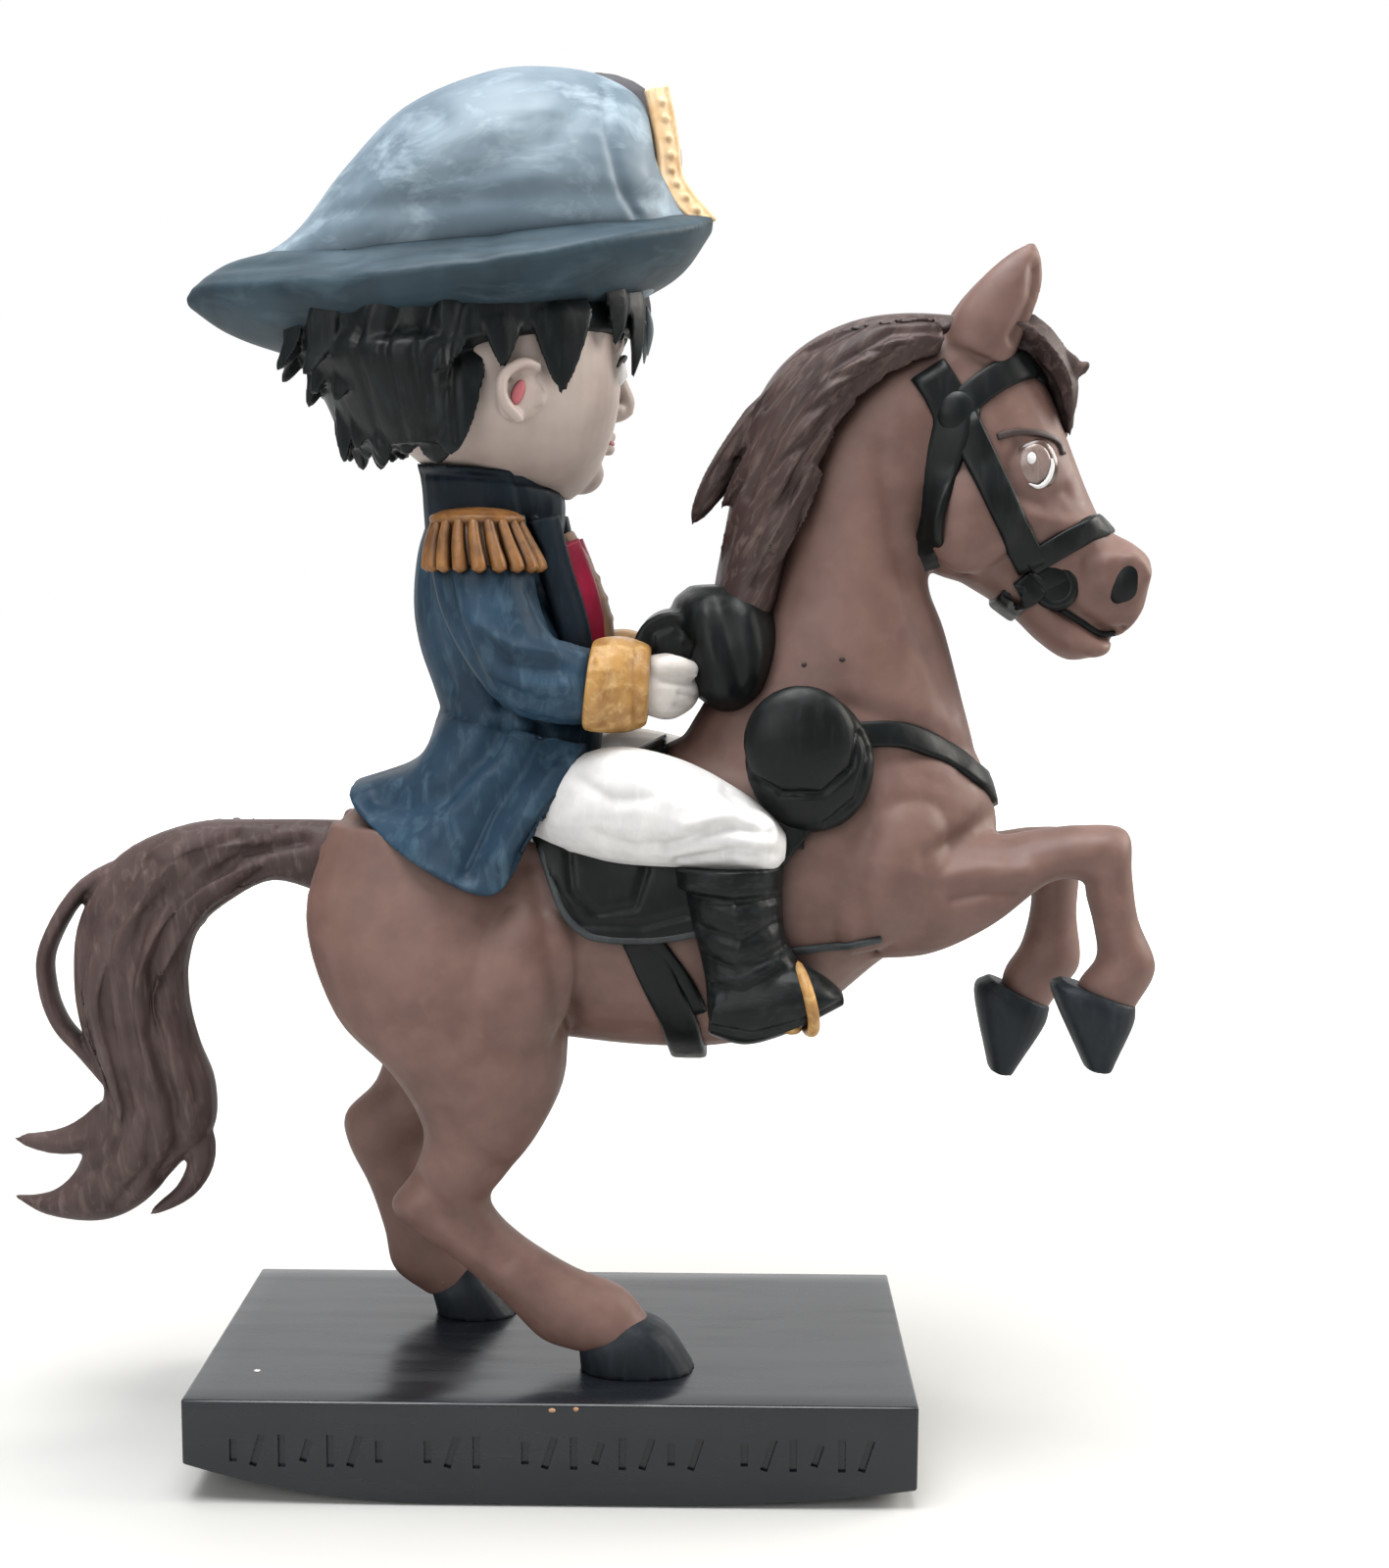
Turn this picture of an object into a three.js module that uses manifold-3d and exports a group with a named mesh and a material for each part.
// Painted statuette of a rider in a cocked hat on a rearing horse, standing on a rectangular slab.
// Millimetres, +Z up. The horse faces +X, its near side faces -Y. The origin is the middle of the
// slab's underside. The figure is one moulded piece, and the slab is the other.
import * as THREE from "three";
import { mergeVertices } from "three/addons/utils/BufferGeometryUtils.js";
import Module from "manifold-3d";

const wasm = await Module();
wasm.setup();

// Driving dimensions of the slab
const PLINTH_LENGTH = 100;
const PLINTH_DEPTH = 50;
const PLINTH_HEIGHT = 14.5;
const NEAR_LEFT_LIFT = 5.4; // how far the warped corners stand off the table
const OTHER_LIFT = 2.6;
const LIFT_REACH = 34; // from a corner to where the underside is flat again

// Driving dimensions of the worn lettering, left as plain strokes
const STROKE_ROW_LENGTH = 86;
const STROKE_HEIGHT = 4.6;
const STROKE_WIDTH = 1;
const STROKE_DEPTH = 0.5;
const STROKE_BELOW_TOP = 7;
const STROKE_WORDS = [7, 3, 8, 6];
const STROKE_LEAN = 0.3; // radians, of every other stroke
const SHORT_STROKE = 0.7; // every third stroke is this share of the height

// Driving dimensions of the figure, which is drawn in units of a 180.5th of its height
const FIGURE_HEIGHT = 180.5; // from the slab's top to the crown of the hat
const FIGURE_FORWARD = -1.5; // the figure stands a little nearer the slab's front edge
const UNIT = FIGURE_HEIGHT / 180.5;

// Driving sizes within the figure, in its own units
const HEAD_TURN = 0.4; // radians, the rider looks past the horse's far side
const HEAD_PLACE = new THREE.Vector3(-9, 0, 139);
const STRAP_THICK = 0.9;
const STRAP_WIDE = 1.5;

// How finely the two pieces are faceted, and how edges are picked for closing up
const FIGURE_FACES = 9240;
const PLINTH_FACES = 720;
const LENGTH_WEIGHT = 1e-3;
const PASS_SHARE = 0.12;
const LEAST_TURN = 0.3;

const Y = new THREE.Vector3(0, 1, 0);
const mix = THREE.MathUtils.lerp;

function vector(x, y, z) {
  return new THREE.Vector3(x, y, z);
}

// A curve through points, read by getPoint so that curves with as many points stay in step
function through(points) {
  return new THREE.CatmullRomCurve3(points, false, "catmullrom", 0.5);
}

// A closed form over rows of sections: a sphere's rows are moved onto the sections, and its two
// poles close the ends. A pointed form reaches its end only at the last pole.
function form(rows, sides, pointed, section) {
  const ball = new THREE.SphereGeometry(1, sides, rows + 1);
  const place = ball.attributes.position;
  const last = pointed ? rows : rows - 1;
  for (let i = 0; i < place.count; i++) {
    const row = Math.floor(i / (sides + 1)) - 1;
    const turn = ((i % (sides + 1)) / sides) * 2 * Math.PI;
    const pole = row < 0 || row === rows;
    const share = THREE.MathUtils.clamp(row / last, 0, 1);
    const p = section(share, turn, pole ? 0 : 1);
    place.setXYZ(i, p.x * UNIT, p.y * UNIT, p.z * UNIT);
  }
  return ball;
}

// A rung is [x, z, x, z, half width, y]: the two outline points of a section seen from the side,
// how far the section reaches either way across, and where its middle lies across.
function rungCurves(rungs) {
  return {
    first: through(rungs.map(([x, z]) => vector(x, 0, z))),
    second: through(rungs.map(([, , x, z]) => vector(x, 0, z))),
    across: through(rungs.map(([, , , , half, y = 0]) => vector(half, y, 0))),
  };
}

// A limb or body drawn as a ladder of rungs. Bulge 1 gives round sections, less gives boxy ones.
function ladder(rungs, sides = 10, steps = 2, bulge = 1) {
  const { first, second, across } = rungCurves(rungs);
  const rows = (rungs.length - 1) * steps + 1;
  const squared = (v) => Math.sign(v) * Math.abs(v) ** bulge;
  return form(rows, sides, false, (share, turn, size) => {
    const a = first.getPoint(share);
    const b = second.getPoint(share);
    const { x: half, y: middle } = across.getPoint(share);
    const along = 0.5 + 0.5 * squared(Math.cos(turn)) * size;
    return b
      .clone()
      .lerp(a, along)
      .addScaledVector(Y, middle + half * squared(Math.sin(turn)) * size);
  });
}

// How far across the surface of a ladder lies at a point of its side view
function sideOf(rungs, x, z) {
  const { first, second, across } = rungCurves(rungs);
  const point = vector(x, 0, z);
  let nearest = Infinity;
  let side = 0;
  for (let share = 0; share <= 1; share += 0.01) {
    const a = first.getPoint(share);
    const b = second.getPoint(share);
    const middle = a.clone().lerp(b, 0.5);
    const reach = a.clone().sub(middle);
    const along = point.clone().sub(middle).dot(reach) / reach.lengthSq();
    const off = point.distanceTo(middle.clone().addScaledVector(reach, along));
    const { x: half, y } = across.getPoint(share);
    if (off < nearest && Math.abs(along) < 1) {
      nearest = off;
      side = Math.abs(y) + half * Math.sqrt(1 - along * along);
    }
  }
  return side;
}

// A strand along a curve, with half its width and thickness, its flat side facing out
function strand(points, wide, thick, out, rows, sides, start, swell) {
  const curve = through(points.map(([x, y, z]) => vector(x, y, z)));
  return form(rows, sides, swell(1) === 0, (share, turn, size) => {
    const along = curve.getTangent(share);
    const facing = out.isVector3 ? out : out(share);
    const across = along.clone().cross(facing).normalize();
    const up = across.clone().cross(along).normalize();
    const s = size * swell(share);
    return curve
      .getPoint(share)
      .addScaledVector(across, wide * s * Math.cos(turn + start))
      .addScaledVector(up, thick * s * Math.sin(turn + start));
  });
}

// A lock of hair: a ridged strand that swells a little and runs out to a point
function lock(points, wide, thick, out, rows = 4) {
  const swell = (share) => Math.min(1, 0.6 + 1.6 * share) * Math.sqrt(1 - share);
  return strand(points, wide, thick, out, rows, 4, 0, swell);
}

// A cord of even thickness
function cord(points, wide, thick, out, rows = 5, sides = 6) {
  return strand(points, wide, thick, out, rows, sides, 0, () => 1);
}

// A strap: an even strand with square corners
function strap(points, wide, thick, out, rows = 4) {
  const corner = Math.SQRT2;
  return strand(points, wide * corner, thick * corner, out, rows, 4, Math.PI / 4, () => 1);
}

// A curved plate: a box's grid is laid on place(u, v), and its faces stand half a thickness off
function plate(columns, rows, thickness, place) {
  const box = new THREE.BoxGeometry(1, 1, 1, columns, rows, 1);
  const grid = box.attributes.position;
  const step = 1e-3;
  for (let i = 0; i < grid.count; i++) {
    const u = grid.getX(i) + 0.5;
    const v = grid.getY(i) + 0.5;
    const du = place(Math.min(1, u + step), v).sub(place(Math.max(0, u - step), v));
    const dv = place(u, Math.min(1, v + step)).sub(place(u, Math.max(0, v - step)));
    const p = place(u, v).addScaledVector(du.cross(dv).normalize(), grid.getZ(i) * thickness);
    grid.setXYZ(i, p.x * UNIT, p.y * UNIT, p.z * UNIT);
  }
  return box;
}

// A rounded lump with its half sizes, turned about the across axis
function lump(x, y, z, halfX, halfY, halfZ, { sides = 6, rows = 4, lean = 0 } = {}) {
  return new THREE.SphereGeometry(1, sides, rows)
    .rotateX(Math.PI / 2)
    .scale(halfX * UNIT, halfY * UNIT, halfZ * UNIT)
    .rotateY(lean)
    .translate(x * UNIT, y * UNIT, z * UNIT);
}

function mirrored(geometry) {
  return geometry.clone().scale(1, -1, 1);
}

function onBothSides(geometries) {
  return geometries.flatMap((geometry) => [geometry, mirrored(geometry)]);
}

// Horse: rungs of the trunk, neck and head, which the tack also lies on
const TRUNK = [
  [-35, 74, -33, 54, 8],
  [-26, 80, -20, 46, 14],
  [-10, 82, -4, 45, 15],
  [6, 83, 12, 43.3, 14.5],
  [18, 89, 25, 43.6, 14.5],
  [33, 93, 36, 48.3, 15],
  [48, 94, 46, 56.5, 14],
  [58, 88, 55, 62, 11],
  [61.4, 79, 60.5, 70, 6],
];
const NECK = [
  [12, 80, 60.8, 74, 12.5],
  [21, 95, 60, 85, 12],
  [27, 107, 57.5, 95, 10.5],
  [30, 117, 54.5, 104, 9.4],
  [32, 126, 51.6, 110.5, 8.8],
  [36, 135, 53, 117, 8.4],
  [43, 142, 56, 126, 8],
  [51, 145.5, 62, 136, 6.5],
];
const HEAD = [
  [51, 145, 47.5, 133, 6],
  [61, 145, 47.5, 122, 8],
  [67, 138, 50.5, 113, 8.8],
  [70.4, 130, 57, 110.2, 8.2],
  [73.4, 122.8, 63.5, 108.5, 6.6],
  [76, 118.3, 68.5, 107, 5.7],
  [80, 116, 73, 105, 5.8],
  [82.3, 113.4, 76, 103.6, 5.6],
  [81.6, 108, 78.4, 103, 4],
];
const JAW = [
  [60, 118, 55.5, 110.8, 7.4],
  [66, 113, 62.3, 106.6, 5.8],
  [71, 108.5, 66.8, 102.4, 4.8],
  [75, 105, 71, 99.8, 4.3],
  [77, 102.6, 75, 100.3, 3],
];

function horseBody() {
  const ear = lock([[55.5, -4.2, 140], [58, -5, 147], [63.8, -4, 156.6]], 6, 2.6, Y, 5);
  const eyelid = cord([[60, -8.2, 131], [64, -8.4, 130.6], [68.6, -6.6, 129.6]], 1.2, 1, Y, 3, 4);
  const eye = lump(65.6, -6.2, 126.6, 3.1, 2.2, 3.4);
  const nostril = lump(78.3, -4.6, 111.2, 1.7, 1.4, 2.6, { lean: 0.3 });
  return [
    ladder(TRUNK, 14),
    ladder(NECK, 12),
    ladder(HEAD, 10),
    ladder(JAW, 8),
    ...onBothSides([ear, eye, eyelid, nostril]),
  ];
}

// A leg is a ladder that ends in a hoof, a boxy ladder of its own
function leg(rungs, hoof) {
  return [ladder(rungs), ladder(hoof, 8, 1, 0.8)];
}

function horseLegs() {
  const nearHind = leg(
    [
      [-33, 77, 0, 75, 7, -6.5],
      [-38.3, 64, 3, 58, 9.6, -8.5],
      [-33.7, 50.8, 1.8, 48, 9.8, -9.5],
      [-23.6, 42.5, 0.8, 41, 8.6, -10.2],
      [-18.6, 34.5, -2.6, 33.6, 7, -10.4],
      [-20, 28.4, -7, 27.8, 5.8, -10.4],
      [-23.2, 23.6, -9.2, 24.6, 5, -10.4],
      [-20.4, 20.2, -7.6, 21.4, 4.6, -10.4],
      [-13.3, 14.8, -3.4, 17.8, 4.2, -10.4],
      [-7, 9, 3, 14, 4.2, -10.4],
      [-2.3, 4.2, 9.4, 11.4, 4.8, -10.4],
      [2.6, 2.6, 13.4, 6.6, 4.6, -10.4],
    ],
    [
      [3.4, 3.6, 10.5, 8.2, 4, -10.4],
      [3.2, 2.6, 15.6, 5.8, 5.2, -10.4],
      [3.4, 0, 19.6, 0, 5.6, -10.4],
    ],
  );
  const farHind = leg(
    [
      [-33, 77, 0, 75, 7, 6.5],
      [-38.3, 64, 2, 58, 9.6, 8.5],
      [-33.7, 50.8, -1, 48, 9.8, 9.5],
      [-27.6, 42, -4, 41, 8.6, 10.2],
      [-28.6, 35.6, -11, 34, 7, 10.4],
      [-33.2, 30.6, -18, 29, 5.6, 10.4],
      [-32.9, 26, -21, 25.6, 4.8, 10.4],
      [-29.8, 19.4, -20, 21, 4.2, 10.4],
      [-27.6, 12.6, -18, 15, 4.2, 10.4],
      [-26.2, 6.6, -14.6, 10.4, 4.8, 10.4],
      [-21, 2.6, -12.6, 6, 4.4, 10.4],
    ],
    [
      [-20.6, 3.4, -14, 8, 4, 10.4],
      [-20.2, 2.4, -11.4, 5.4, 5, 10.4],
      [-19.6, 0, -7.2, 0, 5.4, 10.4],
    ],
  );
  const nearFore = leg(
    [
      [50, 80, 44, 58, 8, -6],
      [60, 76.2, 51.8, 59.2, 7, -7.5],
      [66.5, 77, 60, 63.4, 5.6, -8.5],
      [72, 77.6, 67.5, 69.4, 4.6, -8.8],
      [78.4, 77, 72.4, 69.8, 4.7, -9],
      [79.3, 71, 73.2, 67.4, 4.2, -9],
      [80.4, 64.6, 74.4, 63, 3.6, -9],
      [83, 58, 74.8, 59, 4.1, -9],
      [80.6, 52.6, 72.4, 55.6, 3.6, -9],
      [78.4, 49, 72, 51.4, 3.2, -9],
    ],
    [
      [80.4, 52.4, 70, 56.2, 4, -9],
      [80, 49.6, 68.7, 54.4, 4.8, -9],
      [77.2, 43.4, 73.6, 43.6, 3.8, -9],
    ],
  );
  const farFore = leg(
    [
      [48, 80, 42, 58, 8, 6],
      [58, 76, 49.8, 59.2, 7, 7.5],
      [63.6, 76.6, 57, 62.8, 5.6, 8.5],
      [68.4, 77, 63.6, 68.4, 4.6, 8.8],
      [74.6, 75.8, 68.2, 68.6, 4.7, 9],
      [75.4, 70, 68.5, 65.6, 4.2, 9],
      [75.2, 62, 68.2, 61.4, 3.6, 9],
      [75.9, 54.6, 67, 57, 4.1, 9],
      [73, 50.4, 64.8, 53.4, 3.6, 9],
      [70, 45.6, 64, 48.4, 3.2, 9],
    ],
    [
      [71.6, 48, 62.4, 52.6, 4, 9],
      [70.6, 44.8, 60.4, 50.2, 4.8, 9],
      [66.2, 38, 62.8, 38.6, 3.8, 9],
    ],
  );
  return [nearHind, farHind, nearFore, farFore].flat();
}

// Tail: one heavy S-shaped mass, and locks that stand off its sides and ends
function tail() {
  const mass = ladder(
    [
      [-31, 77, -33, 66, 4],
      [-41.6, 76.6, -41, 68.2, 4.4],
      [-52.7, 76, -47.6, 65, 5.4],
      [-63, 71.4, -51.8, 61.2, 6],
      [-68.8, 63, -54, 56.8, 6.4],
      [-70.2, 54, -54.4, 51, 6.6],
      [-69, 46, -52.8, 44.5, 6.6],
      [-66.2, 38.4, -50.8, 38.2, 6.4],
      [-67.5, 33, -49.9, 31.5, 6],
      [-69.6, 27.6, -51.8, 25, 5.2],
      [-71.4, 24.2, -57, 18.4, 4.2],
      [-74, 21.4, -67, 16.6, 3],
      [-77, 20, -75.4, 17.2, 1.6],
      [-79.8, 20.1, -79.6, 19.6, 0.4],
    ],
  );
  const loose = cord(
    [[-58, 0, 72], [-69, 0, 66.4], [-75.2, 0, 55], [-73.6, 0, 47], [-68.4, 0, 41.6], [-62, 0, 34]],
    1.3, 2.4, Y, 9, 4,
  );
  const upperTip = lock([[-61, 0, 37], [-67.5, 0, 31], [-73, 0, 29], [-79.6, 0, 29]], 3.6, 3, Y, 5);
  const lowerTip = lock([[-55, 0, 32], [-53.4, 0, 25], [-56, 0, 19.6], [-61, 0, 17.6]], 3, 3, Y);
  const sideLocks = [0, 1].map((k) => {
    const shift = mix(-3.2, 2.4, k);
    return lock(
      [
        [-40, -2.6, 72.4 - 0.4 * shift],
        [-53 + 0.4 * shift, -4.6, 68 - 0.9 * shift],
        [-61.6 - 0.9 * -shift, -5.6, 53],
        [-59.6 + shift, -5.4, 40],
        [-59.4 + shift, -4.4, 29],
        [-64 + 1.2 * shift, -2.6, 20.6 + 0.4 * shift],
      ],
      4, 2.4, Y, 6,
    );
  });
  return [mass, loose, upperTip, lowerTip, ...onBothSides(sideLocks)];
}

// Mane: a mass along the crest, and locks swept from the hairline to the mane's back edge
const HAIRLINE = through([
  vector(52, 7, 143), vector(43.5, 8, 139.5), vector(37, 8.6, 132),
  vector(33, 9, 122), vector(31, 9.6, 112), vector(28, 10, 101),
]);
const MANE_EDGE = through([
  vector(47, 2, 146.6), vector(34.5, 2, 143.6), vector(25.6, 2, 132.5),
  vector(18.6, 2, 118), vector(17.6, 3, 106), vector(15.5, 4, 91),
]);
const MANE_LOCKS = 6;
const MANE_SWEEP = 0.42; // how far along the mane a lock reaches from its root to its tip

function mane() {
  const mass = ladder(
    [
      [59, 146.6, 53, 138, 4.4],
      [48, 147.6, 45, 138, 6.8],
      [38, 146, 40, 134, 8.2],
      [30.6, 139.4, 36, 129, 9],
      [25.6, 131, 33, 121, 9.4],
      [22.4, 120, 31, 113, 9.6],
      [20.4, 110, 29.5, 105, 9.8],
      [18.6, 99, 27, 96, 9.6],
      [17, 90, 24, 90, 8],
    ],
    10,
  );
  const locks = Array.from({ length: MANE_LOCKS }, (_, k) => {
    const start = mix(-0.1, 1 - MANE_SWEEP, k / (MANE_LOCKS - 1));
    const points = [0, 0.35, 0.7, 1].map((share) => {
      const at = Math.max(0, start + MANE_SWEEP * share);
      const p = HAIRLINE.getPoint(at).lerp(MANE_EDGE.getPoint(at), 0.04 + 0.94 * share ** 1.2);
      return [p.x, -p.y - 1.6 * Math.sin(share * Math.PI), p.z];
    });
    return lock(points, 3.6, 2.2, Y, 6);
  });
  const curl = lock([[26, 0, 132], [21, 0, 125], [17.6, 0, 119], [18, 0, 115.6]], 3, 4, Y);
  const forelock = [-1, 0, 1].map((k) =>
    lock(
      [
        [55, 1.5 * k, 146],
        [64.6, 3 * k, 146.4],
        [70.6, 4 * k, 140.4 - Math.abs(k)],
        [71.8 - Math.abs(k), 4.2 * k, 129.6 + 3 * Math.abs(k)],
      ],
      3.8, 2.4, (share) => vector(0.1 + share, 0, 1.1 - share), 6,
    ),
  );
  return [mass, curl, ...forelock, ...onBothSides(locks)];
}

// A strap laid on a ladder: side-view points, held off its surface by half the strap's thickness
function strapOn(rungs, points, wide = STRAP_WIDE) {
  const laid = points.map(([x, z]) => [x, -sideOf(rungs, x, z) - STRAP_THICK * 0.2, z]);
  return strap(laid, wide, STRAP_THICK, Y, points.length);
}

function bridle() {
  return onBothSides([
    strapOn(HEAD, [[50, 143], [53.6, 136], [52.6, 127], [52.4, 114]], 1.9),
    strapOn(HEAD, [[54, 134], [57.6, 126], [61.6, 118.4], [65, 113.4]], 1.4),
    strapOn(HEAD, [[54.6, 136.4], [60, 139], [64.6, 141.6]], 1.3),
    strapOn(HEAD, [[63.8, 114.4], [68.6, 117], [73.6, 120.6]], 1.4),
    strapOn(JAW, [[66, 111.6], [64, 109], [62, 107.6]], 1.3),
    lump(67.8, -5.6, 110.2, 2.6, 1.3, 2.6),
    lump(54.2, -8.9, 134.6, 2.2, 1.4, 2.2),
  ]);
}

// Saddle, its flaps, the girth, the breast strap and the holsters
function saddlery() {
  const flap = plate(7, 3, 2.8, (u, v) => {
    const x = mix(-5.5, 38, u) + 5 * (1 - v) * (1 - u);
    const hem = 61 + 13 * Math.abs(u - 0.4) ** 1.5;
    const z = mix(hem, 85 - 3 * u, v);
    return vector(x, -sideOf(TRUNK, x, z) - 0.8, z);
  });
  const seat = ladder(
    [
      [-9, 91, -8, 78, 8],
      [-3, 86.5, -3, 76, 10],
      [8, 86, 8, 76, 10.5],
      [16, 91, 15, 80, 9],
      [20, 93, 19, 86, 6],
    ],
  );
  const girthPoints = [[11.5, 63], [14.5, 56], [17, 50], [17.8, 46.2]];
  const girth = girthPoints.map(([x, z]) => [x, -sideOf(TRUNK, x, z) - 0.2, z]);
  const under = [...girth].reverse().map(([x, y, z]) => [x, -y, z]);
  const girthLoop = strap(
    [...girth, [18.4, 0, 43], ...under],
    2.6, STRAP_THICK, (share) => {
      const roll = mix(-1, 1, share) * Math.PI * 0.5;
      return vector(0, Math.sin(roll), -Math.cos(roll));
    },
    9,
  );
  const breast = strapOn(TRUNK, [[40, 89], [48, 89.4], [55, 86.6], [60.4, 82.6]], 1.9);
  const holster = lump(34.4, -15.6, 87.2, 8.8, 4.4, 9.8, { sides: 8, rows: 6, lean: -0.3 });
  const lid = lump(33.4, -18.2, 90.4, 7.4, 3, 6.2, { sides: 8, lean: -0.3 });
  const holsterStrap = strapOn(TRUNK, [[33, 80], [34, 75], [35, 71]], 2.6);
  const roll = cord([[15.6, -8.4, 101.2], [15.6, 8.4, 101.2]], 5.2, 5.2, vector(0, 0, 1), 2, 12);
  const bundle = lump(21.4, 0, 99.6, 6, 9, 8.2);
  return [seat, girthLoop, roll, bundle, ...onBothSides([flap, breast, holster, lid, holsterStrap])];
}

// Rider's trunk, coat skirts, collar and lapels
const COAT = [
  [-18.6, 119.4, -1, 118, 7.6],
  [-20.6, 114, 3.4, 113, 12.6],
  [-21.2, 107, 5.6, 107, 13],
  [-20.2, 101, 7.6, 102, 12.2],
  [-18, 95, 7.4, 95.6, 11.2],
  [-17.8, 91, 6.2, 90, 11],
  [-20, 85.4, 5, 84, 12],
  [-21, 80, 3, 78, 12.6],
];
const PLEATS = 6;

// One half of the coat's skirts: from the waist down and back over the croup, in soft pleats
function skirt() {
  const waist = through([
    vector(-17.4, 0, 92), vector(-14, -8, 91), vector(-4, -11, 90), vector(4.4, -11, 88),
  ]);
  const hip = through([
    vector(-21, 0, 84.2), vector(-19.6, -9.6, 82.6), vector(-7, -15.4, 79), vector(3.4, -13.4, 85),
  ]);
  const hem = through([
    vector(-31.6, 0, 79.8), vector(-31, -8.6, 76.6), vector(-22, -16, 70),
    vector(-8.6, -17.8, 64.8), vector(-4.6, -17, 73), vector(2.4, -14.6, 81.6),
  ]);
  return plate(14, 4, 2.4, (u, v) => {
    const fold = 0.9 * v * Math.cos(u * PLEATS * 2 * Math.PI);
    const p = through([waist.getPoint(u), hip.getPoint(u), hem.getPoint(u)]).getPoint(v);
    return p.add(vector(-0.3 * fold, -fold * 0.6, fold * 0.5));
  });
}

function coat() {
  const collar = ladder(
    [
      [-20, 117.6, 0.6, 115.6, 9.4],
      [-20.4, 120.6, 0.8, 120, 10],
      [-21, 125.2, -0.2, 125.6, 10.4],
    ],
    10,
  );
  const lapel = strap(
    [[1, -5.6, 117.6], [4.6, -5.4, 112], [7, -4.6, 105], [7.6, -4, 98]],
    2.2, 0.8, vector(1, -0.3, 0.3),
  );
  const placket = cord(
    [[0.8, 0, 119], [5, 0, 112], [7.4, 0, 104], [7.2, 0, 94]],
    2.6, 1.3, vector(1, 0, 0.3), 4,
  );
  return [ladder(COAT, 12), collar, placket, ...onBothSides([lapel, skirt()])];
}

const TASSELS = 7;

function epaulette() {
  const board = lump(-10.6, -13, 119.2, 6.4, 5, 2, { sides: 8 });
  const tassels = Array.from({ length: TASSELS }, (_, k) => {
    const turn = mix(-0.1, 1.1, k / (TASSELS - 1)) * Math.PI;
    const out = vector(-Math.cos(turn), -Math.sin(turn), 0);
    return cord(
      [
        [-10.4 + 5.4 * out.x, -13 + 3.8 * out.y, 119],
        [-9.8 + 7.4 * out.x, -14 + 5 * out.y, 115.6],
        [-9.4 + 8 * out.x, -14.4 + 5.2 * out.y, 111.6],
      ],
      1.8, 1.3, out, 2, 4,
    );
  });
  return [board, ...tassels];
}

function arm() {
  const sleeve = ladder(
    [
      [-17, 119, -4, 119.4, 5, -10],
      [-19, 112, -3.4, 113.6, 6.4, -13],
      [-16.4, 104, -2, 107, 6.2, -14.6],
      [-11.6, 96, 0, 103.6, 5.8, -15.4],
      [-6, 92.6, 2, 103, 5.6, -14.8],
      [0, 91.2, 4.4, 102.2, 5.4, -13.4],
      [5.6, 91.2, 6.6, 101.6, 5.2, -12],
    ],
  );
  const cuff = ladder(
    [
      [3.6, 91, 4.8, 101.8, 5.8, -12.6],
      [4.6, 90.2, 5.8, 102.6, 6.4, -12.2],
      [11, 90.2, 11.6, 102.4, 6.4, -10],
      [12.4, 92, 12.6, 100.6, 5.2, -9.4],
    ],
    8, 1, 0.85,
  );
  const hand = ladder(
    [
      [11, 93, 11, 100, 3.4, -9.6],
      [15, 91.6, 15.4, 100.4, 4.4, -8],
      [18, 93, 18.4, 98.6, 3.8, -6.6],
      [19, 95, 19, 97, 2, -6],
    ],
    6,
  );
  return [sleeve, cuff, hand];
}

function riderLeg() {
  const thigh = ladder(
    [
      [-5, 84, -4, 74, 5, -8],
      [3, 87, 4, 73, 6.6, -11.5],
      [9, 88.5, 10, 72.2, 7.4, -13.6],
      [17, 87.2, 18, 71.8, 7.4, -15],
      [24, 83.6, 25, 70.8, 6.8, -15.6],
      [29, 79.6, 29, 71.2, 5.4, -15.8],
      [30.9, 76.6, 30.6, 73.4, 3, -15.8],
    ],
  );
  const boot = ladder(
    [
      [15.4, 73, 31.2, 73, 6.2, -15.6],
      [16.4, 68, 31.8, 67, 6, -16],
      [18.4, 62, 33.6, 61.4, 5.6, -16.4],
      [20.6, 55.6, 35.6, 57.6, 5, -16.8],
      [21.4, 50.8, 33, 53, 4.2, -16.8],
    ],
  );
  const foot = ladder(
    [
      [21, 50.4, 21.6, 56, 4, -16.8],
      [25, 48, 26, 58.6, 4.8, -17],
      [31, 50, 32, 59, 5, -17.2],
      [36.4, 52.8, 36.4, 57.6, 4.6, -17.4],
      [39.4, 54.4, 39.4, 55.6, 2.4, -17.4],
    ],
    6,
  );
  const stirrup = new THREE.TorusGeometry(5 * UNIT, 1 * UNIT, 4, 9)
    .scale(0.76, 1, 1)
    .rotateY(Math.PI / 2 - 0.2)
    .translate(34.6 * UNIT, -17.4 * UNIT, 54.6 * UNIT);
  return [thigh, boot, foot, stirrup];
}

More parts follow.
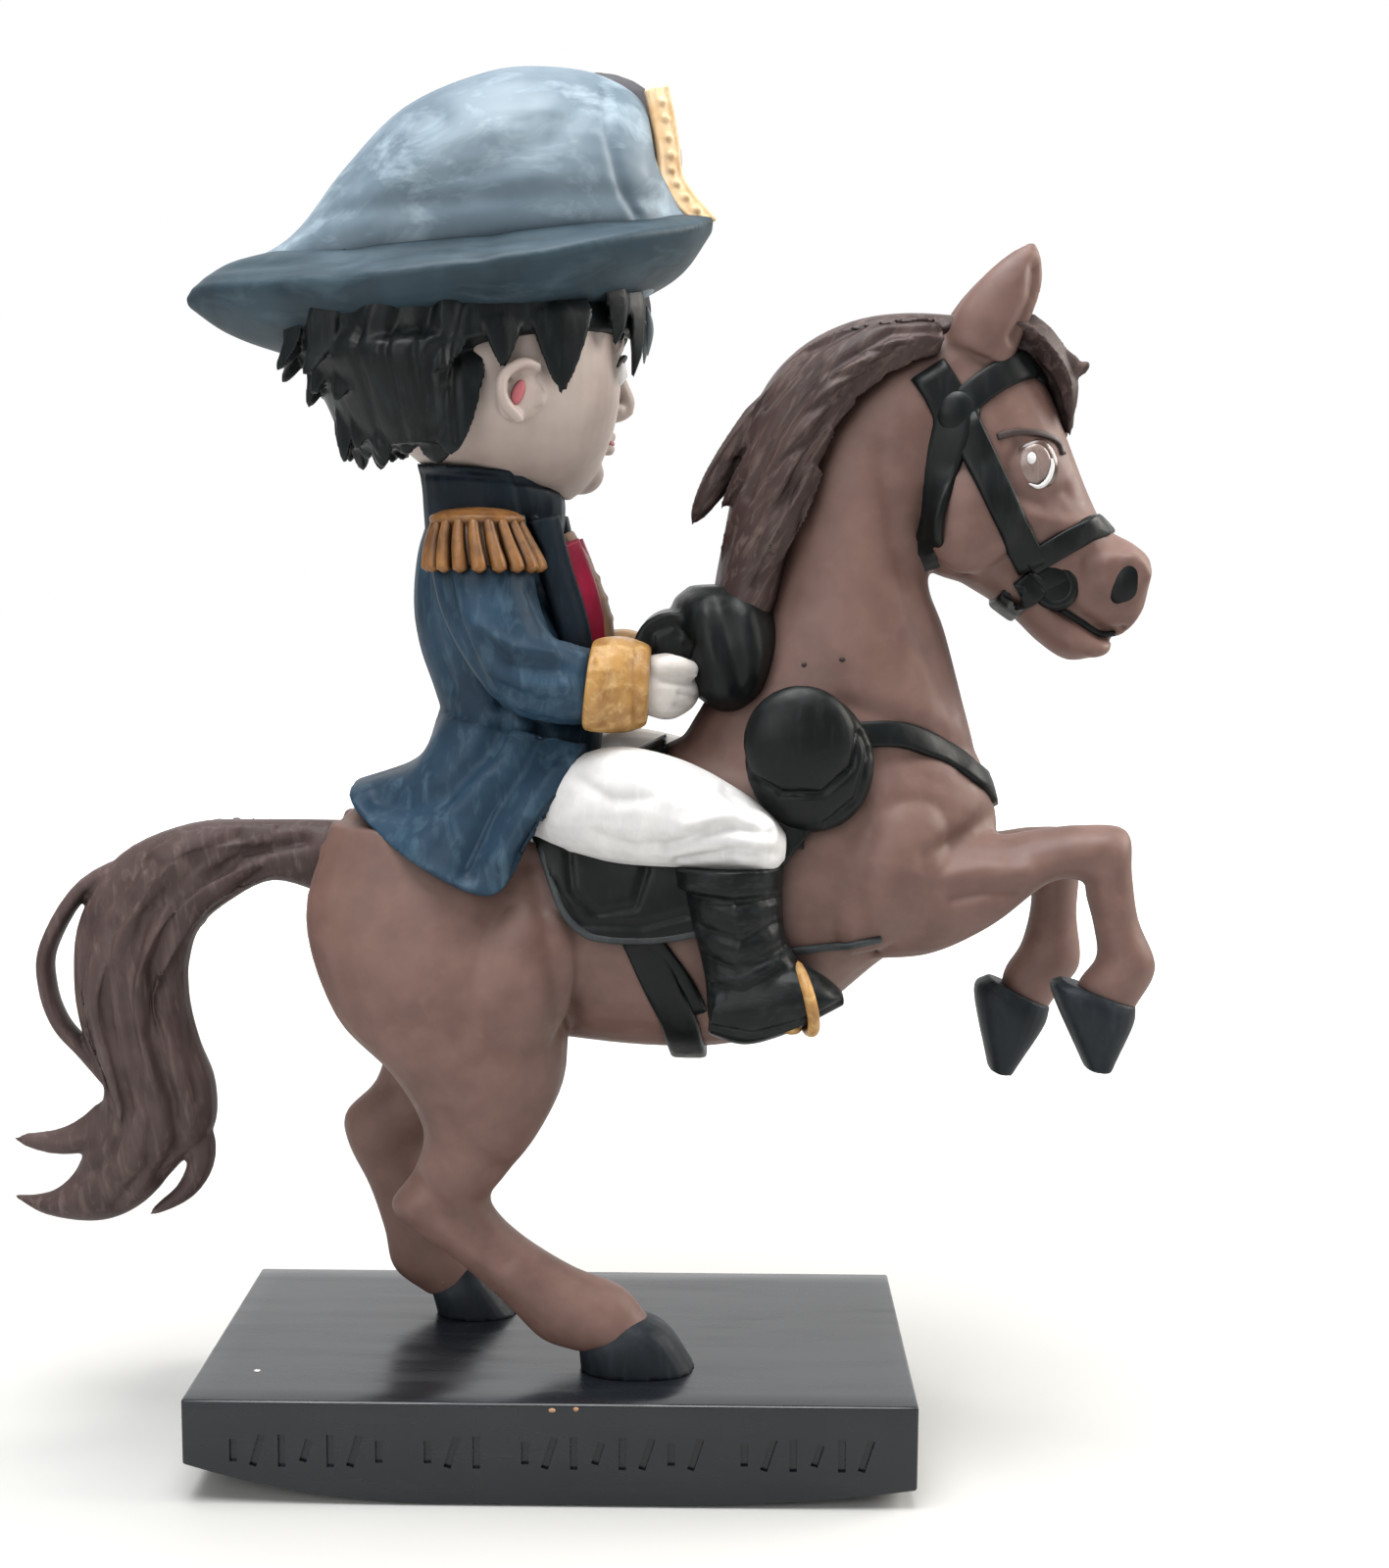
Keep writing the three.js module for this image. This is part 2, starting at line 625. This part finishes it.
// Rider's head, in its own frame: middle at the origin, looking along +X
function riderHead() {
  const skull = ladder(
    [
      [-8, 17.4, 7, 17.4, 8],
      [-14, 13.4, 13.6, 13.4, 13.6],
      [-17, 7, 17, 7, 16.4],
      [-17.6, 1, 17.4, 1, 17],
      [-16.6, -5, 17, -5, 16.4],
      [-13, -10.4, 15.6, -10.4, 13.4],
      [-7, -14.6, 13.4, -15, 9.2],
      [1, -16.4, 10.6, -17.4, 5],
    ],
    12,
  );
  const nose = cord(
    [[16.4, 0, 2.6], [18, 0, -1], [19.2, 0, -4.2], [16.4, 0, -5.4]], 1.5, 1.4, vector(1, 0, 0), 4,
  );
  const lips = cord([[15.2, -3, -9], [16.7, 0, -8.8], [15.2, 3, -9]], 0.9, 0.9, vector(1, 0, 0), 4);
  const chin = lump(12.6, 0, -13.4, 3, 4, 3);
  const brow = cord(
    [[13.8, -10.4, 4.4], [15.8, -6.4, 5.6], [17, -2.4, 4.6]], 0.8, 0.9, vector(1, -0.5, 0), 3, 4,
  );
  const eye = lump(14.9, -6.6, 0.4, 1.8, 2.6, 1.7);
  const ear = lump(-2.4, -17, -1.6, 4.2, 2.2, 5.6, { sides: 8, lean: 0.35 });
  return [skull, nose, lips, chin, ...onBothSides([brow, eye, ear])];
}

// Hair: a cap over the back of the head, and rings of locks that flick out at their tips
const FRINGE_LOCKS = 8;
const FRINGE_SPREAD = 0.56 * Math.PI; // how far round to either side the fringe goes
const HAIR_RINGS = [
  { locks: 7, from: 0.56, to: 1.44, root: 10, tip: -1.5, stand: 6, reach: 11.5, droop: 3 },
  { locks: 8, from: 0.56, to: 1.44, root: 7, tip: -6.5, stand: 4, reach: 6, droop: 3 },
  { locks: 8, from: 0.6, to: 1.4, root: 2, tip: -13.5, stand: 0.6, reach: -1.5, droop: 2 },
];

function hair() {
  const cap = ladder(
    [
      [-12, 19.4, 10, 19.4, 11],
      [-23, 14, 19, 14, 17.4],
      [-26, 8.6, 18.6, 10.6, 20],
      [-26, 2.6, 11, 6.2, 20],
      [-21.6, -5, -4.6, -4, 18.6],
      [-17, -11.6, -7, -11, 14],
    ],
    16,
  );
  const locks = HAIR_RINGS.flatMap(({ locks: count, from, to, root, tip, stand, reach, droop }) =>
    Array.from({ length: count }, (_, k) => {
      const turn = mix(from, to, (k + 0.5) / count) * Math.PI;
      const out = vector(Math.cos(turn), Math.sin(turn), 0);
      const at = (distance, z) => [out.x * (distance + 3) + 1.4, out.y * distance, z];
      const drop = droop * ((k % 2) - 0.5);
      const behind = Math.max(0.2, -out.x);
      const belly = 18.2 + stand * behind;
      return lock(
        [
          at(belly - 4, root),
          at(belly, mix(root, tip, 0.4)),
          at(belly, mix(root, tip, 0.8)),
          at(17 + reach * behind, tip + drop),
        ],
        6.4, 3.2, (share) => vector(out.x, out.y, 0.5 * share), 5,
      );
    }),
  );
  const fringe = Array.from({ length: FRINGE_LOCKS }, (_, k) => {
    const aside = mix(-1, 1, k / (FRINGE_LOCKS - 1));
    const out = vector(Math.cos(aside * FRINGE_SPREAD), Math.sin(aside * FRINGE_SPREAD), 0);
    const length = 8.5 + 7 * Math.abs(aside) + 1.5 * Math.cos(k * 2.2);
    return lock(
      [
        [out.x * 15, out.y * 15, 15],
        [out.x * 19.6, out.y * 19, 10],
        [out.x * 19.4 + 1.2, out.y * 18.6, 12 - length],
      ],
      7.4, 2.6, out, 4,
    );
  });
  return [cap, ...locks, ...fringe];
}

// Hat: the turned-up crown between two points, over a brim shaped like a shallow boat
function hat() {
  const brim = ladder(
    [
      [-51.4, 149.6, -51.6, 147.6, 1.6],
      [-47, 153.4, -46.4, 144.4, 7.4],
      [-41, 155, -40, 142.4, 13],
      [-32, 156, -32, 141, 19],
      [-21, 157, -21, 141.6, 23.4],
      [-9, 157.8, -9, 143.4, 25],
      [2, 159, 3, 146.6, 23],
      [11, 159.8, 12, 150.4, 17.4],
      [17.4, 160.2, 17, 153.4, 10.4],
      [21, 160.2, 20.8, 158.4, 3],
    ],
    14,
  );
  const crown = ladder(
    [
      [-46, 153.6, -44, 150, 2.4],
      [-37.6, 158.6, -35, 146, 9],
      [-29.9, 168.2, -26, 145, 14.6],
      [-21, 176.2, -17, 144, 17.6],
      [-10, 180.2, -8, 144, 18.6],
      [-1.6, 180.5, 0, 145, 18],
      [6, 178.6, 6, 147, 16],
      [12.4, 174.4, 11.6, 149, 13],
      [14.8, 167, 15.4, 152, 9.4],
      [19.4, 160.4, 18.6, 156, 4],
    ],
    12, 1, 1.08,
  );
  const farFlap = lump(3.4, 5, 168.4, 12, 5, 10.6, { sides: 10, rows: 6 });
  const braid = strap(
    [[11, 0, 176.6], [14.6, 0, 172], [16, 0, 167.4], [15.6, 0, 164], [18.6, 0, 161.4], [21, 0, 159]],
    2.4, 0.8, vector(1, 0, 0.5), 6,
  );
  return [brim, crown, farFlap, braid];
}

// A form in the rider's head frame, moved to the head's place
function onNeck(geometry) {
  return geometry.rotateZ(HEAD_TURN).translate(
    HEAD_PLACE.x * UNIT, HEAD_PLACE.y * UNIT, HEAD_PLACE.z * UNIT,
  );
}

function rider() {
  const neck = ladder([[-17, 116, -3, 116, 7], [-17, 130, -2, 130, 7.4]]);
  return [
    neck,
    ...coat(),
    ...onBothSides([...arm(), ...epaulette(), ...riderLeg()]),
    ...riderHead().map(onNeck),
    ...hair().map(onNeck),
    ...hat(),
  ];
}

// Six times the signed volume: negative for a geometry whose faces point inwards
function signedVolume(positions, index) {
  let sum = 0;
  const corner = (i) => vector(...positions.slice(index[i] * 3, index[i] * 3 + 3));
  for (let i = 0; i < index.length; i += 3) {
    sum += corner(i).dot(corner(i + 1).cross(corner(i + 2)));
  }
  return sum;
}

function solid(geometry) {
  geometry.deleteAttribute("normal");
  geometry.deleteAttribute("uv");
  const merged = mergeVertices(geometry, 1e-4);
  const positions = merged.attributes.position.array;
  const index = new Uint32Array(merged.index.array);
  if (signedVolume(positions, index) < 0) index.reverse();
  return new wasm.Manifold(new wasm.Mesh({ numProp: 3, vertProperties: positions, triVerts: index }));
}

// Joins forms, and fills the small hollows that are left sealed between them
function join(geometries) {
  return geometries
    .map(solid)
    .reduce((whole, next) => whole.add(next))
    .decompose()
    .filter((piece) => piece.volume() > 0)
    .reduce((whole, next) => whole.add(next));
}

// The faces of a closed surface as lists, with what lies round each of its corners
function surroundings(corners, faces) {
  const round = corners.map(() => []);
  faces.forEach((face, i) => face.forEach((corner) => round[corner].push(i)));
  const planes = faces.map(([a, b, c]) => {
    const normal = corners[b].clone().sub(corners[a]).cross(corners[c].clone().sub(corners[a]));
    const area = normal.length();
    return { normal: normal.divideScalar(area || 1), area, at: corners[a] };
  });
  return { round, planes };
}

// The place where an edge does least harm when it closes up to one corner, and how much
function bestClosing(corners, planes, near, a, b) {
  const length = corners[a].distanceToSquared(corners[b]);
  const places = [corners[a], corners[b], corners[a].clone().lerp(corners[b], 0.5)];
  const scored = places.map((place) => {
    const harm = near.reduce((sum, i) => {
      const off = planes[i].normal.dot(place.clone().sub(planes[i].at));
      return sum + planes[i].area * off * off;
    }, 0);
    return { a, b, place, harm: harm + length * LENGTH_WEIGHT };
  });
  return scored.reduce((best, next) => (next.harm < best.harm ? next : best));
}

// Closes up the edges whose loss changes the surface least, until `most` faces are left. An edge goes
// only if its ends share just the two corners beside it, so that the surface stays closed, and if no
// face near it turns over.
function thinned({ vertProperties, triVerts }, most) {
  const corners = Array.from({ length: vertProperties.length / 3 }, (_, i) =>
    vector(...vertProperties.slice(i * 3, i * 3 + 3)),
  );
  let faces = Array.from({ length: triVerts.length / 3 }, (_, i) => [...triVerts.slice(i * 3, i * 3 + 3)]);
  let before = Infinity;
  while (faces.length > most && faces.length < before) {
    before = faces.length;
    const { round, planes } = surroundings(corners, faces);
    const edges = faces.flatMap(([a, b, c]) => [[a, b], [b, c], [c, a]]).filter(([a, b]) => a < b);
    const closings = edges
      .map(([a, b]) => bestClosing(corners, planes, [...new Set([...round[a], ...round[b]])], a, b))
      .sort((one, other) => one.harm - other.harm)
      .slice(0, Math.ceil(edges.length * PASS_SHARE));
    const touched = new Set();
    let toClose = Math.ceil((faces.length - most) / 2);
    for (const { a, b, place } of closings) {
      if (toClose === 0 || touched.has(a) || touched.has(b)) continue;
      const ringOf = (corner) => new Set(round[corner].flatMap((i) => faces[i]));
      const ringA = ringOf(a);
      const ringB = ringOf(b);
      const shared = [...ringA].filter((corner) => ringB.has(corner) && corner !== a && corner !== b);
      const kept = [...new Set([...round[a], ...round[b]])].filter(
        (i) => !(faces[i].includes(a) && faces[i].includes(b)),
      );
      const turns = kept.some((i) => {
        const [p, q, r] = faces[i].map((c) => (c === a || c === b ? place : corners[c]));
        const normal = q.clone().sub(p).cross(r.clone().sub(p));
        return normal.dot(planes[i].normal) < LEAST_TURN * normal.length() || normal.length() < 1e-3;
      });
      if (shared.length !== 2 || turns) continue;
      for (const corner of [...ringA, ...ringB]) touched.add(corner);
      corners[a] = place.clone();
      for (const i of round[b]) faces[i] = faces[i].map((c) => (c === b ? a : c));
      toClose -= 1;
    }
    faces = faces.filter(([a, b, c]) => a !== b && b !== c && c !== a);
  }
  return { corners, faces };
}

function meshOf(name, whole, most, colour, roughness) {
  const { corners, faces } = thinned(whole.getMesh(), most);
  const geometry = new THREE.BufferGeometry().setFromPoints(corners).setIndex(faces.flat());
  geometry.computeVertexNormals();
  const mesh = new THREE.Mesh(
    geometry,
    new THREE.MeshStandardMaterial({ color: colour, roughness, metalness: 0 }),
  );
  mesh.name = name;
  return mesh;
}

// Slab whose underside curls up towards its four corners
function slab() {
  const box = new THREE.BoxGeometry(PLINTH_LENGTH, PLINTH_DEPTH, PLINTH_HEIGHT, 12, 6, 1);
  const place = box.attributes.position;
  for (let i = 0; i < place.count; i++) {
    const x = place.getX(i);
    const y = place.getY(i);
    const top = place.getZ(i) > 0;
    const fromCorner = Math.hypot(PLINTH_LENGTH / 2 - Math.abs(x), PLINTH_DEPTH / 2 - Math.abs(y));
    const lift = x < 0 && y < 0 ? NEAR_LEFT_LIFT : OTHER_LIFT;
    const curl = lift * Math.max(0, 1 - fromCorner / LIFT_REACH) ** 2;
    place.setZ(i, top ? PLINTH_HEIGHT : curl);
  }
  return box;
}

// Rows of shallow strokes in the slab's front face, upright or leaning by turns
function strokes() {
  const count = STROKE_WORDS.reduce((sum, word) => sum + word, 0);
  const gaps = STROKE_WORDS.length - 1;
  const pitch = STROKE_ROW_LENGTH / (count - 1 + gaps);
  let x = -STROKE_ROW_LENGTH / 2;
  return STROKE_WORDS.flatMap((word) => {
    const marks = Array.from({ length: word }, (_, k) =>
      new THREE.BoxGeometry(STROKE_WIDTH, 2 * STROKE_DEPTH, STROKE_HEIGHT * (k % 3 ? 1 : SHORT_STROKE))
        .rotateY(k % 2 ? STROKE_LEAN : 0)
        .translate(x + k * pitch, -PLINTH_DEPTH / 2, PLINTH_HEIGHT - STROKE_BELOW_TOP),
    );
    x += (word + 1) * pitch;
    return marks;
  });
}

const object = new THREE.Group();

const plinth = strokes().map(solid).reduce((block, mark) => block.subtract(mark), solid(slab()));
object.add(meshOf("plinth", plinth, PLINTH_FACES, "#3b3e47", 0.45));

const figure = new THREE.Group();
figure.position.set(0, FIGURE_FORWARD, PLINTH_HEIGHT);
figure.add(
  meshOf(
    "horse_and_rider",
    join([
      ...horseBody(),
      ...horseLegs(),
      ...tail(),
      ...mane(),
      ...bridle(),
      ...saddlery(),
      ...rider(),
    ]),
    FIGURE_FACES,
    "#7d5f57",
    0.6,
  ),
);
object.add(figure);

export default object;
